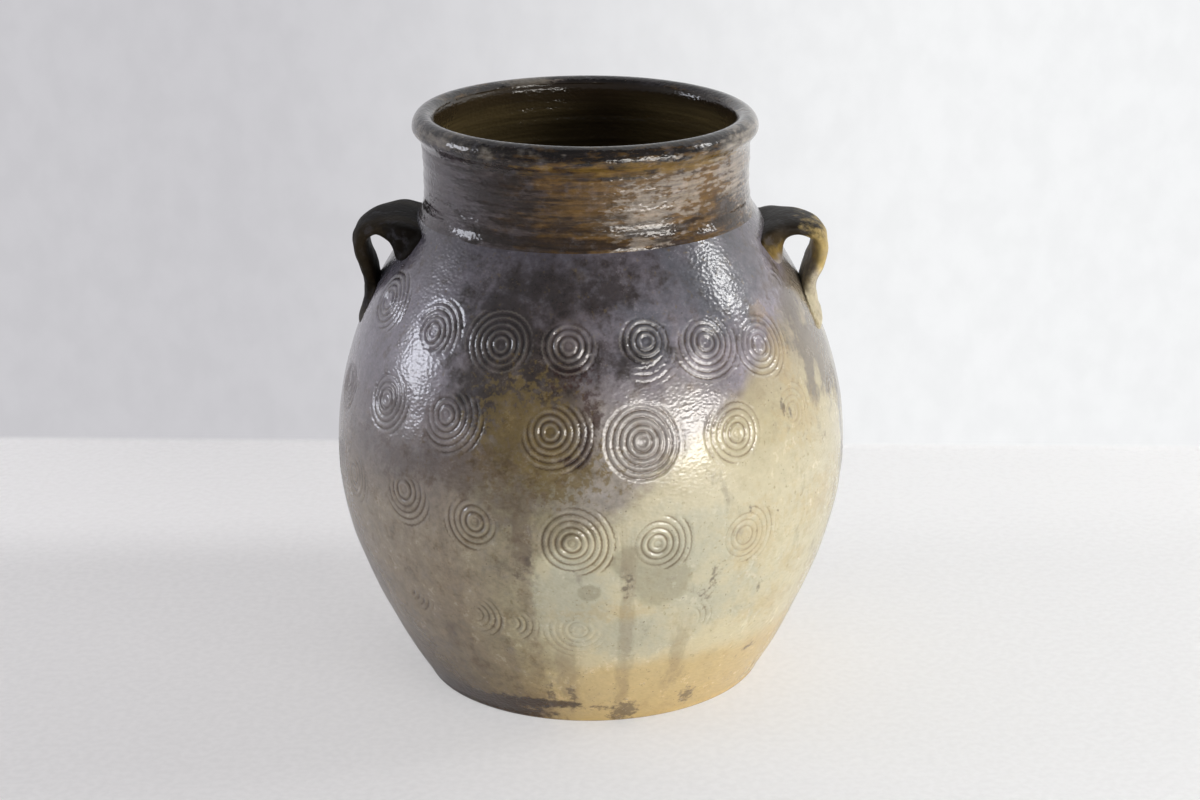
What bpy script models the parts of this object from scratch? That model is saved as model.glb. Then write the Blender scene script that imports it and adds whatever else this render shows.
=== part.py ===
# Salt-glazed stoneware storage jar: a full-bellied wall beaten up on a floor slab,
# an upright neck with a rolled rim luted to its shoulder, and two strap handles.
# Metres, +Z up. The origin is the centre of the foot, on the surface it stands on.
# The handles stand at -X and +X, so that a finger goes through each loop along Y.

import math

import bmesh
import bpy

# Wall of the body, outside
FOOT_RADIUS = 0.0882
BELLY_RADIUS = 0.1333
BELLY_HEIGHT = 0.123
SHOULDER_RADIUS = 0.085
SHOULDER_HEIGHT = 0.250

# Thickness of the clay
FLOOR_THICKNESS = 0.011
FOOT_WALL = 0.010
SHOULDER_WALL = 0.0075
INSIDE_CORNER = 0.012

# Neck and rolled rim
NECK_HEIGHT = 0.050
NECK_STEP = 0.0004
NECK_WAIST = 0.0017
NECK_FLARE = 0.0009
NECK_WALL = 0.0066
RIM_OVERHANG = 0.0047
RIM_CROWN = 0.0070
RIM_UNDERSIDE = 0.0085
RIM_DIP = 0.0025

# Strap handles
STRAP_WIDTH = 0.038
STRAP_THICKNESS = 0.0086
ROOT_WIDTH = 0.060
ROOT_SMEAR = 0.012
LEFT_SPRING_DROP = 0.0041
LEFT_REACH = 0.0222
LEFT_FALL = 0.0479
LEFT_TAIL_WIDTH = 0.021
RIGHT_SPRING_DROP = 0.0092
RIGHT_REACH = 0.0221
RIGHT_FALL = 0.0445
RIGHT_TAIL_WIDTH = 0.036

# Joints between the pieces of clay
LUTE_GAP = 0.0003

# How full the curves are: 1 is a cone, larger is rounder
FOOT_CURVE_POWER = 1.8
SHOULDER_CURVE_POWER = 1.97
STRAP_SECTION_POWER = 2.4
ROOT_SECTION_POWER = 4.0
NECK_FOOT_POWER = 5

# How finely the curves are cut
SIDES_AROUND = 72
WALL_STEPS = 22
CORNER_STEPS = 4
NECK_STEPS = 8
RIM_UNDERSIDE_STEPS = 5
RIM_CROWN_STEPS = 10
STRAP_SIDES = 16
STRAP_SPAN_STEPS = 3

# Each strap's middle line, from inside the shoulder, out, round and down to its tail.
# Each row is the share of the fall, of the reach, of the root's and of the tail's form.
LEFT_LINE_SHARES = (
    (0.16, -0.80, 1.00, 0.00),
    (0.07, -0.08, 1.00, 0.00),
    (0.03, 0.31, 0.92, 0.00),
    (0.025, 0.60, 0.42, 0.00),
    (0.048, 0.87, 0.08, 0.00),
    (0.134, 1.01, 0.00, 0.04),
    (0.248, 0.92, 0.00, 0.15),
    (0.374, 0.70, 0.00, 0.32),
    (0.52, 0.41, 0.00, 0.55),
    (0.676, 0.14, 0.00, 0.82),
    (0.854, -0.03, 0.00, 1.00),
    (1.00, -0.12, 0.00, 1.00),
    (1.146, -0.18, 0.00, 1.00),
    (1.25, -0.50, 0.00, 1.00),
)
RIGHT_LINE_SHARES = (
    (0.25, -0.95, 1.00, 0.00),
    (0.12, -0.29, 1.00, 0.00),
    (0.05, 0.09, 0.72, 0.00),
    (0.022, 0.414, 0.20, 0.00),
    (0.03, 0.745, 0.03, 0.00),
    (0.108, 1.00, 0.00, 0.04),
    (0.23, 0.955, 0.00, 0.15),
    (0.366, 0.775, 0.00, 0.32),
    (0.524, 0.48, 0.00, 0.55),
    (0.68, 0.195, 0.00, 0.82),
    (0.85, 0.014, 0.00, 1.00),
    (1.00, -0.086, 0.00, 1.00),
    (1.157, -0.13, 0.00, 1.00),
    (1.27, -0.48, 0.00, 1.00),
)

WAIST_RADIUS = SHOULDER_RADIUS - NECK_STEP - NECK_WAIST
MOUTH_RADIUS = WAIST_RADIUS - NECK_WALL
RIM_HEIGHT = SHOULDER_HEIGHT + NECK_HEIGHT


def clear_scene():
    for thing in list(bpy.data.objects):
        bpy.data.objects.remove(thing, do_unlink=True)


def wall_radius(height):
    # outside of the body, a rounded cone below the belly and another above it
    if height < BELLY_HEIGHT:
        share = 1 - height / BELLY_HEIGHT
        return BELLY_RADIUS - (BELLY_RADIUS - FOOT_RADIUS) * share ** FOOT_CURVE_POWER
    share = (height - BELLY_HEIGHT) / (SHOULDER_HEIGHT - BELLY_HEIGHT)
    return BELLY_RADIUS - (BELLY_RADIUS - SHOULDER_RADIUS) * share ** SHOULDER_CURVE_POWER


def offset_from_wall(height, depth):
    # the point that lies depth outside the wall, square to it, inside where depth is negative
    step = LUTE_GAP
    slope = (wall_radius(height) - wall_radius(height - step)) / step
    length = math.hypot(1, slope)
    return (wall_radius(height) + depth / length, height - depth * slope / length)


def spread(first, last, steps):
    return [first + (last - first) * step / steps for step in range(steps + 1)]


def inside_line():
    # inside of the body from the neck's seat down to the floor's corner
    points = [(MOUTH_RADIUS, SHOULDER_HEIGHT)]
    top = SHOULDER_HEIGHT - LUTE_GAP
    bottom = FLOOR_THICKNESS + INSIDE_CORNER
    for height in spread(top, bottom, WALL_STEPS):
        share = (height - bottom) / (top - bottom)
        wall = FOOT_WALL + (SHOULDER_WALL - FOOT_WALL) * share
        points.append(offset_from_wall(height, -wall))
    radius, height = points[-1]
    floor = FLOOR_THICKNESS + LUTE_GAP
    for share in spread(0, 1, CORNER_STEPS)[1:]:
        angle = share * math.pi / 2
        points.append((
            radius - INSIDE_CORNER * (1 - math.cos(angle)),
            height - (height - floor) * math.sin(angle),
        ))
    return points


def turned(name, outline, material, bend=None):
    # a closed outline of (radius, height), turned once round the upright axis
    mesh = bpy.data.meshes.new(name)
    form = bmesh.new()
    corners = [form.verts.new((radius, 0, height)) for radius, height in outline]
    edges = [form.edges.new((corners[i - 1], corners[i])) for i in range(len(corners))]
    bmesh.ops.spin(
        form, geom=corners + edges, cent=(0, 0, 0), axis=(0, 0, 1),
        angle=math.tau, steps=SIDES_AROUND, use_merge=True,
    )
    bmesh.ops.recalc_face_normals(form, faces=form.faces[:])
    if bend:
        for corner in form.verts:
            bend(corner.co)
    form.to_mesh(mesh)
    form.free()
    return finish(name, mesh, material)


def finish(name, mesh, material):
    mesh.shade_smooth()
    mesh.set_sharp_from_angle(angle=math.radians(40))
    mesh.materials.append(material)
    piece = bpy.data.objects.new(name, mesh)
    bpy.context.scene.collection.objects.link(piece)
    return piece


def glaze(name, colour, roughness):
    material = bpy.data.materials.new(name)
    material.use_nodes = True
    shader = material.node_tree.nodes["Principled BSDF"]
    shader.inputs["Base Color"].default_value = (*colour, 1)
    shader.inputs["Roughness"].default_value = roughness
    shader.inputs["Metallic"].default_value = 0
    return material


def make_floor_slab():
    mesh = bpy.data.meshes.new("floor_slab")
    form = bmesh.new()
    bmesh.ops.create_cone(
        form, cap_ends=True, segments=SIDES_AROUND, depth=FLOOR_THICKNESS,
        radius1=FOOT_RADIUS, radius2=wall_radius(FLOOR_THICKNESS),
    )
    bmesh.ops.translate(form, verts=form.verts, vec=(0, 0, FLOOR_THICKNESS / 2))
    form.to_mesh(mesh)
    form.free()
    return finish("floor_slab", mesh, glaze("foot_glaze", (0.42, 0.36, 0.22), 0.45))


def make_body_wall():
    bottom = FLOOR_THICKNESS + LUTE_GAP
    outside = [(wall_radius(h), h) for h in spread(bottom, SHOULDER_HEIGHT, WALL_STEPS)]
    outline = outside + inside_line()
    return turned("body_wall", outline, glaze("body_glaze", (0.20, 0.18, 0.17), 0.35))


def neck_radius(height):
    # outside of the neck: a spread foot, a waist and a slight flare under the rim
    foot = SHOULDER_HEIGHT + LUTE_GAP
    share = (height - foot) / (RIM_HEIGHT - RIM_CROWN - RIM_UNDERSIDE - foot)
    return WAIST_RADIUS + NECK_WAIST * (1 - share) ** NECK_FOOT_POWER + NECK_FLARE * share ** 2


def neck_outline():
    foot = SHOULDER_HEIGHT + LUTE_GAP
    widest = RIM_HEIGHT - RIM_CROWN
    flare_top = widest - RIM_UNDERSIDE
    outline = [(neck_radius(h), h) for h in spread(foot, flare_top, NECK_STEPS)]
    for share in spread(0, 1, RIM_UNDERSIDE_STEPS)[1:-1]:
        overhang = RIM_OVERHANG * (1 - math.cos(math.pi * share)) / 2
        outline.append((neck_radius(flare_top) + overhang, flare_top + RIM_UNDERSIDE * share))
    half_width = (NECK_WALL + NECK_FLARE + RIM_OVERHANG) / 2
    for angle in spread(0, math.pi, RIM_CROWN_STEPS):
        outline.append((
            MOUTH_RADIUS + half_width + half_width * math.cos(angle),
            widest + RIM_CROWN * math.sin(angle),
        ))
    return outline + [(MOUTH_RADIUS, foot)]


def dip_rim(place):
    # the fired rim is not quite level: it dips towards the handle at +X
    foot = SHOULDER_HEIGHT + LUTE_GAP
    share = (place.z - foot) / (RIM_HEIGHT - foot)
    place.z -= share * RIM_DIP / 2 * place.x / WAIST_RADIUS


def make_neck_collar():
    material = glaze("neck_glaze", (0.17, 0.12, 0.07), 0.3)
    return turned("neck_collar", neck_outline(), material, bend=dip_rim)


def make_handle_seat():
    # what the handles are cut to: the outside of the shoulder and the neck, and a gap
    core = MOUTH_RADIUS / 2
    outline = [(core, BELLY_HEIGHT)]
    for height in spread(BELLY_HEIGHT, SHOULDER_HEIGHT, WALL_STEPS):
        outline.append(offset_from_wall(height, LUTE_GAP))
    neck_foot = SHOULDER_HEIGHT + 2 * LUTE_GAP
    neck_top = RIM_HEIGHT - RIM_CROWN - RIM_UNDERSIDE
    for height in spread(neck_foot, neck_top, NECK_STEPS):
        outline.append((neck_radius(height) + LUTE_GAP, height))
    outline.append((core, neck_top))
    seat = turned("handle_seat_cutter", outline, glaze("cutter_clay", (0.5, 0.5, 0.5), 0.5))
    seat.hide_render = True
    seat.display_type = "WIRE"
    return seat


def curve_between(rows, span, share):
    # a smooth curve through the rows, which starts and ends on the first and the last
    before, first, last, after = (
        rows[max(span - 1, 0)], rows[span], rows[span + 1], rows[min(span + 2, len(rows) - 1)],
    )
    return [
        0.5 * (
            2 * b + (c - a) * share
            + (2 * a - 5 * b + 4 * c - d) * share ** 2
            + (3 * b - a - 3 * c + d) * share ** 3
        )
        for a, b, c, d in zip(before, first, last, after)
    ]


def rounded(value, power):
    return math.copysign(abs(value) ** (2 / power), value)


def strap_stations(line_shares, spring_drop, reach, fall, tail_width):
    # places along the strap's middle line: radius, height, width and the root's share
    rows = []
    for fall_share, reach_share, root_share, tail_share in line_shares:
        height = SHOULDER_HEIGHT - spring_drop - fall * fall_share
        radius = wall_radius(height) + reach * reach_share
        width = STRAP_WIDTH + (ROOT_WIDTH - STRAP_WIDTH) * root_share
        width += (tail_width - STRAP_WIDTH) * tail_share
        rows.append((radius, height, width, root_share))
    stations = []
    for span in range(len(rows) - 1):
        for step in range(STRAP_SPAN_STEPS):
            stations.append(curve_between(rows, span, step / STRAP_SPAN_STEPS))
    return stations + [list(rows[-1])]


def strap_ring(form, side, stations, index):
    # the strap's section at one station, square to its middle line
    radius, height, width, root_share = stations[index]
    before = stations[max(index - 1, 0)]
    after = stations[min(index + 1, len(stations) - 1)]
    run, rise = after[0] - before[0], after[1] - before[1]
    length = math.hypot(run, rise)
    power = STRAP_SECTION_POWER + (ROOT_SECTION_POWER - STRAP_SECTION_POWER) * root_share
    ring = []
    for turn in spread(0, math.tau, STRAP_SIDES)[:-1]:
        across = rounded(math.cos(turn), power) * width / 2
        depth = STRAP_THICKNESS / 2
        if turn > math.pi:
            depth += ROOT_SMEAR * root_share
        outward = rounded(math.sin(turn), power) * depth
        ring.append(form.verts.new((
            side * (radius - outward * rise / length), across, height + outward * run / length,
        )))
    return [form.edges.new((ring[i - 1], ring[i])) for i in range(len(ring))]


def make_handle(name, side, stations, seat, material):
    mesh = bpy.data.meshes.new(name)
    form = bmesh.new()
    rings = [strap_ring(form, side, stations, i) for i in range(len(stations))]
    for i in range(len(rings) - 1):
        bmesh.ops.bridge_loops(form, edges=rings[i] + rings[i + 1])
    bmesh.ops.holes_fill(form, edges=rings[0] + rings[-1], sides=STRAP_SIDES)
    bmesh.ops.recalc_face_normals(form, faces=form.faces[:])
    form.to_mesh(mesh)
    form.free()
    handle = finish(name, mesh, material)
    cut = handle.modifiers.new("seat_on_shoulder", "BOOLEAN")
    cut.operation = "DIFFERENCE"
    cut.solver = "EXACT"
    cut.object = seat


def make_handles():
    seat = make_handle_seat()
    left = strap_stations(
        LEFT_LINE_SHARES, LEFT_SPRING_DROP, LEFT_REACH, LEFT_FALL, LEFT_TAIL_WIDTH,
    )
    right = strap_stations(
        RIGHT_LINE_SHARES, RIGHT_SPRING_DROP, RIGHT_REACH, RIGHT_FALL, RIGHT_TAIL_WIDTH,
    )
    left_glaze = glaze("left_handle_glaze", (0.045, 0.040, 0.028), 0.3)
    right_glaze = glaze("right_handle_glaze", (0.19, 0.14, 0.07), 0.3)
    make_handle("handle_left", -1, left, seat, left_glaze)
    make_handle("handle_right", 1, right, seat, right_glaze)


def main():
    clear_scene()
    make_floor_slab()
    make_body_wall()
    make_neck_collar()
    make_handles()


main()
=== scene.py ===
import math

import bpy
import numpy as np
from mathutils import Matrix, Vector
from mathutils.geometry import delaunay_2d_cdt


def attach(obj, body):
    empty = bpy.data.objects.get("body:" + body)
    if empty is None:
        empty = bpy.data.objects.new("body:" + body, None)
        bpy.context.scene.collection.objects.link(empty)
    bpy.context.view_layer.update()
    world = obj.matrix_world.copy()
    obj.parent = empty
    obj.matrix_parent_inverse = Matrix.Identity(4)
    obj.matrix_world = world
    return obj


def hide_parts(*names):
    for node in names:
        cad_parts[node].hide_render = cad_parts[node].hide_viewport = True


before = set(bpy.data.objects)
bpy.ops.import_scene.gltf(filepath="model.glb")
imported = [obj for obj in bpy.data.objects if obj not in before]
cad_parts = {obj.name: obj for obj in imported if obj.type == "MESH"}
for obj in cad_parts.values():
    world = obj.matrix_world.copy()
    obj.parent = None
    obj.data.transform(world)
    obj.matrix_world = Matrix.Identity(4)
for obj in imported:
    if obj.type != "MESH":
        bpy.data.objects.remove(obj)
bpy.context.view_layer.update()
mm = 0.001
weldGap = 0.02   # mm, points closer than this are merged
sharpEdge = 50   # degrees, a sharper edge than this stays crisp


# Helpers for the meshes
def clearSelection():
    bpy.ops.object.select_all(action="DESELECT")


def goTo(mode):
    bpy.ops.object.mode_set(mode=mode)


def selectMesh(action="SELECT"):
    bpy.ops.mesh.select_all(action=action)


def pickOnly(piece):
    clearSelection()
    piece.select_set(True)
    bpy.context.view_layer.objects.active = piece


def addObject(name, data):
    thing = bpy.data.objects.new(name, data)
    bpy.context.collection.objects.link(thing)
    return thing


def startPiece(name):
    piece = bpy.context.object
    piece.name = name
    piece.data.name = name
    return piece


def placePoints(piece, points):  # points in mm
    piece.data.vertices.foreach_set("co", (np.asarray(points, float) * mm).ravel())
    piece.data.update()


def readPoints(piece):  # back in mm
    points = np.zeros(len(piece.data.vertices) * 3)
    piece.data.vertices.foreach_get("co", points)
    return points.reshape(-1, 3) / mm


def aroundAxis(azimuth, radius, height):
    turn = np.radians(azimuth)
    return np.stack([radius * np.sin(turn), -radius * np.cos(turn), height + 0 * turn], -1)


def radiusOf(points):
    return np.hypot(points[:, 0], points[:, 1])


def azimuthOf(points):
    return np.degrees(np.arctan2(points[:, 0], -points[:, 1]))


def turnFrom(azimuth, centre):  # degrees to the right of a centre, -180 to 180
    return (azimuth - centre + 180) % 360 - 180


def mergeAndTurnOut(piece):
    pickOnly(piece)
    goTo("EDIT")
    selectMesh()
    bpy.ops.mesh.remove_doubles(threshold=weldGap * mm)
    bpy.ops.mesh.normals_make_consistent(inside=False)
    goTo("OBJECT")


def spin(name, outline, steps, closed):
    # a ring of vertices is laid along the outline, behind the jar, and spun round the jar's axis
    clearSelection()
    bpy.ops.mesh.primitive_circle_add(vertices=len(outline))
    piece = startPiece(name)
    outline = np.asarray(outline, float)
    placePoints(piece, aroundAxis(180 + 0 * outline[:, 0], outline[:, 0], outline[:, 1]))
    goTo("EDIT")
    if not closed:  # the edge from the last point back to the first goes
        bpy.ops.mesh.select_mode(type="EDGE")
        selectMesh("DESELECT")
        goTo("OBJECT")
        ends = {0, len(outline) - 1}
        for edge in piece.data.edges:
            edge.select = set(edge.vertices) == ends
        goTo("EDIT")
        bpy.ops.mesh.delete(type="EDGE")
        bpy.ops.mesh.select_mode(type="VERT")
    selectMesh()
    bpy.ops.mesh.spin(steps=steps, angle=math.tau, center=(0, 0, 0), axis=(0, 0, 1))
    goTo("OBJECT")
    mergeAndTurnOut(piece)
    return piece


def smooth(low, high, value):
    share = np.clip((value - low) / (high - low), 0, 1)
    return share * share * (3 - 2 * share)


def between(limits, value):  # 0, rising to 1 between the first two limits and back to 0 between the last two
    return smooth(*limits[:2], value) * (1 - smooth(*limits[2:], value))


def ripple(azimuth, height, waves):
    # a sum of gentle waves: (times round the jar, mm per wave up the wall, phase, mm high)
    total = 0 * azimuth
    for times, rise, phase, size in waves:
        total = total + size * np.sin(np.radians(times * azimuth) + math.tau * height / rise + phase)
    return total


def litInside(azimuth, height, lights):
    # painted light on the inside: each light through the mouth: share, the azimuth that it falls on, how many
    # degrees off it's none and full, and how much of it is gone from one height to another
    total = 0 * azimuth
    for share, centre, none, full, fade, low, high in lights:
        light = smooth(none, full, np.abs(turnFrom(azimuth, centre)))
        total = total + share * light * (1 - fade * smooth(low, high, height))
    return total


def keepField(piece, name, values):
    layer = piece.data.attributes.new(name, "FLOAT", "POINT")
    layer.data.foreach_set("value", np.asarray(values, np.float32))


def finishPiece(piece, material, node):
    piece.data.materials.clear()
    piece.data.materials.append(material)
    pickOnly(piece)
    bpy.ops.object.shade_smooth_by_angle(angle=math.radians(sharpEdge))
    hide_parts(node)
    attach(piece, "root")


# Helpers for the materials
def toLinear(hexColour):
    channels = []
    for start in (0, 2, 4):
        value = int(hexColour[start:start + 2], 16) / 255
        channels.append(value / 12.92 if value <= 0.04045 else ((value + 0.055) / 1.055) ** 2.4)
    return (*channels, 1)


def startTree(owner):  # a material or the world, with its nodes cleared
    owner.use_nodes = True
    owner.node_tree.nodes.clear()
    return owner.node_tree


def addNode(tree, kind, links=(), **settings):
    node = tree.nodes.new("ShaderNode" + kind)
    for name, value in settings.items():
        setattr(node, name, value)
    for socket, source in dict(links).items():
        if isinstance(source, bpy.types.NodeSocket):
            tree.links.new(source, node.inputs[socket])
        else:
            node.inputs[socket].default_value = toLinear(source) if isinstance(source, str) else source
    return node


def calculate(tree, operation, first, second):
    return addNode(tree, "Math", {0: first, 1: second}, operation=operation).outputs[0]


def product(tree, first, second):
    return calculate(tree, "MULTIPLY", first, second)


def easedShare(tree, value, low, high):
    return addNode(tree, "MapRange", {"Value": value, "From Min": low, "From Max": high},
                   interpolation_type="SMOOTHSTEP").outputs["Result"]


def spanOf(tree, value, low, high):  # 0 to 1 turned into low to high
    return addNode(tree, "MapRange", {"Value": value, "To Min": low, "To Max": high}).outputs["Result"]


def blendColours(tree, share, under, over, how="MIX"):
    return addNode(tree, "Mix", {0: share, 6: under, 7: over}, data_type="RGBA", blend_type=how).outputs[2]


def mixShaders(tree, share, under, over):
    return addNode(tree, "MixShader", {0: share, 1: under.outputs[0], 2: over.outputs[0]})


def cloud(tree, place, size, detail, roughness=0.5, stretch=(1, 1, 1)):
    # noise whose lumps are about this many mm across
    moved = addNode(tree, "Mapping", {"Vector": place, "Scale": stretch}).outputs[0]
    return addNode(tree, "TexNoise", {"Vector": moved, "Scale": 1 / (size * mm), "Detail": detail,
                                      "Roughness": roughness}).outputs["Fac"]


def readField(tree, name):
    return addNode(tree, "Attribute", attribute_name=name).outputs["Fac"]


def heightRamp(tree, height, stops):
    # colours by height in mm, lowest first
    low, high = stops[0][0], stops[-1][0]
    level = addNode(tree, "MapRange", {"Value": height, "From Min": low * mm, "From Max": high * mm})
    ramp = addNode(tree, "ValToRGB", {0: level.outputs["Result"]})
    elements = ramp.color_ramp.elements
    elements[0].color, elements[-1].color = toLinear(stops[0][1]), toLinear(stops[-1][1])
    for rise, colour in stops[1:-1]:
        elements.new((rise - low) / (high - low)).color = toLinear(colour)
    return ramp.outputs["Color"]


def shade(tree, share, colour, noise, low, high, darkest, palest):
    # darker and paler with a noise, which is spread from low to high
    tone = spanOf(tree, easedShare(tree, noise, low, high), darkest, palest)
    grey = addNode(tree, "CombineColor", {0: tone, 1: tone, 2: tone}).outputs[0]
    return blendColours(tree, share, colour, grey, "MULTIPLY")


def stain(tree, share, colour, source, stains):
    # each stain: where the source starts and ends it, strength, colour, blend
    for low, high, strength, hue, how in stains:
        amount = product(tree, product(tree, easedShare(tree, source, low, high), strength), share)
        colour = blendColours(tree, amount, colour, hue, how)
    return colour


saltGlaze = {
    "ior": 1.5,          # soda-lime glass
    "roughness": (0.13, 0.37), "coatRoughness": 0.12,
    "peelSize": 2.2,     # mm between the pits of the orange peel
    "peelStretch": (1, 1, 1.5), "peelSmoothness": 0.6,
    "peelDepth": 0.15, "swellDepth": 0.32,  # mm
    "swellStrength": 0.7,
    # the noises: mm across, detail, roughness, stretch
    "clouds": {"broad": (42, 3), "middle": (12, 4, 0.6), "fine": (3.4, 5, 0.72), "warmth": (8, 4, 0.65),
               "lines": (1.9, 3, 0.6, (0.05, 0.05, 1)), "iron": (1.7, 1), "swell": (8, 2)},
    "wander": 14,        # mm by which a colour strays from its height
    "fray": (5, 0.62), "frayFrom": 0.25, "frayTo": 0.75,
    "calmFrom": -0.4, "calmTo": 0.4, "calmest": 0.3,
    "warmStains": [(0.52, 0.7, 0.5, "b39d78", "MULTIPLY"), (0.47, 0.3, 0.1, "9a9aa6", "MIX")],
    "tones": {"middle": (0.25, 0.75, 0.84, 1.14), "fine": (0.28, 0.72, 0.8, 1.12)},
    "streakFrom": 0.3, "streakTo": 0.7, "paleStreak": 0.8,
    "pools": [(0.1, 0.8, 0.85, "a1907c", "MULTIPLY"), (0.0, -0.8, 0.16, "c9c2b4", "MIX")],
    "ironStains": [(0.725, 0.78, 1.0, "35261a", "MIX")],
}


# Salt thrown in the kiln fuses with the clay into a thin glass that beads like orange peel:
# a wet gloss broken into small sparks, over the clay's own uneven colours; some layers and the inside's lining add
# painted light.
def makeSaltGlaze(name, ramp, layers, inside=None, calm=None, pool=False,
                  gloss=1.0, streak=0.0, specks=0.5, ridges=0.0, coat=0.55, shine=0.6):
    material = bpy.data.materials.new("Salt-glazed stoneware, " + name)
    tree = startTree(material)
    place = addNode(tree, "TexCoord").outputs["Object"]
    height = addNode(tree, "SeparateXYZ", {0: place}).outputs["Z"]
    clouds = {kind: cloud(tree, place, *values) for kind, values in saltGlaze["clouds"].items()}

    wander = saltGlaze["wander"] * mm
    wandered = calculate(tree, "ADD", height, spanOf(tree, clouds["broad"], -wander, wander))
    colour = heightRamp(tree, wandered, ramp)
    for field, (over, soft, grain, ragged, strength, *stretch) in layers.items():
        # plain noise keeps near its middle, so it's spread before it eats into the patch's edge
        frayed = cloud(tree, place, grain, *saltGlaze["fray"], *stretch)
        frayed = easedShare(tree, frayed, saltGlaze["frayFrom"], saltGlaze["frayTo"])
        pushed = spanOf(tree, frayed, -0.5 * ragged, 0.5 * ragged)
        share = easedShare(tree, calculate(tree, "ADD", readField(tree, field), pushed), -soft, soft)
        over = over if isinstance(over, str) else heightRamp(tree, wandered, over)
        colour = blendColours(tree, product(tree, share, strength), colour, over)

    # the glass lies thick and thin, so the clay shows through warmer, cooler, darker and paler
    unrest = 1.0
    if calm:  # the field where the glaze is evener
        calmed = easedShare(tree, readField(tree, calm), saltGlaze["calmFrom"], saltGlaze["calmTo"])
        unrest = spanOf(tree, calmed, 1.0, saltGlaze["calmest"])
    colour = stain(tree, unrest, colour, clouds["warmth"], saltGlaze["warmStains"])
    for kind, tone in saltGlaze["tones"].items():
        colour = shade(tree, unrest, colour, clouds[kind], *tone)
    if streak:
        colour = shade(tree, unrest, colour, clouds["lines"], saltGlaze["streakFrom"], saltGlaze["streakTo"],
                       1 - streak, 1 + saltGlaze["paleStreak"] * streak)
    if pool:  # glaze runs off the pressed ridges and pools in the grooves
        colour = stain(tree, 1.0, colour, readField(tree, "pool"), saltGlaze["pools"])
    colour = stain(tree, specks, colour, clouds["iron"], saltGlaze["ironStains"])
    # the inside's lining: a shaded colour and a lit one, blended by the painted light of the litInside field
    if inside:
        dark, plain, pale = inside
        shady = blendColours(tree, clouds["lines"], dark, plain)
        lit = blendColours(tree, clouds["lines"], plain, pale)
        lining = blendColours(tree, readField(tree, "litInside"), shady, lit)
        colour = blendColours(tree, readField(tree, "inside"), colour, lining)

    moved = addNode(tree, "Mapping", {"Vector": place, "Scale": saltGlaze["peelStretch"]}).outputs[0]
    pits = addNode(tree, "TexVoronoi", {"Vector": moved, "Scale": 1 / (saltGlaze["peelSize"] * mm),
                                        "Smoothness": saltGlaze["peelSmoothness"]}, feature="SMOOTH_F1")
    surface = addNode(tree, "Bump", {"Height": clouds["swell"], "Distance": saltGlaze["swellDepth"] * mm,
                                     "Strength": saltGlaze["swellStrength"]}).outputs[0]
    bumps = [(pits.outputs["Distance"], saltGlaze["peelDepth"])]
    if ridges:  # fine throwing lines, in mm
        bumps.append((clouds["lines"], ridges))
    for bump, depth in bumps:
        surface = addNode(tree, "Bump", {"Height": bump, "Strength": 1.0, "Distance": depth * mm,
                                         "Normal": surface}).outputs[0]
    lumps = product(tree, calculate(tree, "ADD", clouds["fine"], clouds["middle"]), 0.5)
    shader = addNode(tree, "BsdfPrincipled", {
        "Base Color": colour, "Roughness": spanOf(tree, lumps, *(share * gloss for share in saltGlaze["roughness"])),
        "IOR": saltGlaze["ior"], "Normal": surface, "Specular IOR Level": shine, "Coat Weight": coat,
        "Coat Roughness": saltGlaze["coatRoughness"], "Coat Normal": surface})
    addNode(tree, "OutputMaterial", {"Surface": shader.outputs[0]})
    return material


# The wall's curve, which the other pieces sit on
wall = {
    "footRadius": 88.2, "bellyRadius": 133.3, "bellyHeight": 123.0,
    "shoulderRadius": 85.0, "shoulderHeight": 250.0,
    "footFullness": 1.8, "shoulderFullness": 1.97,
    "overrun": 1.05,             # the curve goes on a little above the shoulder
    "slabTop": 11.15,            # where the wall was luted on to the floor slab
    "footWall": 10.0, "shoulderWall": 7.5, "insideCorner": 12.0,
    "seatRadius": 76.4,          # the top edge, which the neck sits on, runs in to here
    "seatSlope": 4.0,            # and the inside leans in at 45 degrees over this height below it
    "seatEdge": 3.0,
    "curveSteps": 1500, "columns": 240, "rowStep": 3.2, "insideRows": 26, "insideSteps": 200,
    "degree": 2.2,               # mm that a degree takes where the wall is unrolled
    "edge": 0.1, "netGap": 1e-4, "skinDepth": 0.3, "slopeStep": 0.5,
    "widest": 133.2,             # nothing stands out past this
    "insideRings": [(1, 11, 0.3, 0.35), (2, 6.3, 2.2, 0.18), (3, -23, 1.1, 0.3)],
    "insideRingsFrom": 25, "insideRingsTo": 244,
    # painted light on the wall's inside, falling through the mouth
    "lights": [(1, -105, 120, 45, 1, 225, 170), (0.45, 128, 48, 15, 1, 225, 170)],
    # thrown and beaten by hand: slow swells, never outwards, and none at the foot and the shoulder's edge
    "swells": [(2, 260, 0.4, 0.22), (3, -170, 1.9, 0.18), (5, 95, 2.6, 0.12), (7, -66, 0.9, 0.09),
               (11, 48, 4.1, 0.06), (1, 27, 3.0, 0.05), (2, 16.5, 5.2, 0.035), (17, -38, 1.2, 0.035)],
    "swellSink": 0.45, "swellBand": (13, 42, 236, 250),
}


def wallRadius(height):
    height = np.asarray(height, float)
    low = np.clip(1 - height / wall["bellyHeight"], 0, 1)
    rise = wall["shoulderHeight"] - wall["bellyHeight"]
    high = np.clip((height - wall["bellyHeight"]) / rise, 0, wall["overrun"])
    below = wall["bellyRadius"] - (wall["bellyRadius"] - wall["footRadius"]) * low ** wall["footFullness"]
    above = wall["bellyRadius"] - (wall["bellyRadius"] - wall["shoulderRadius"]) * high ** wall["shoulderFullness"]
    return np.where(height < wall["bellyHeight"], below, above)


curveHeights = np.linspace(0, wall["shoulderHeight"], wall["curveSteps"] + 1)
curveRadii = wallRadius(curveHeights)
curveArcs = np.concatenate([[0], np.cumsum(np.hypot(np.diff(curveRadii), np.diff(curveHeights)))])


def arcAt(height):  # distance up the wall's face from the ground
    return np.interp(height, curveHeights, curveArcs)


def heightAt(arc):
    return np.interp(arc, curveArcs, curveHeights)


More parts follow.
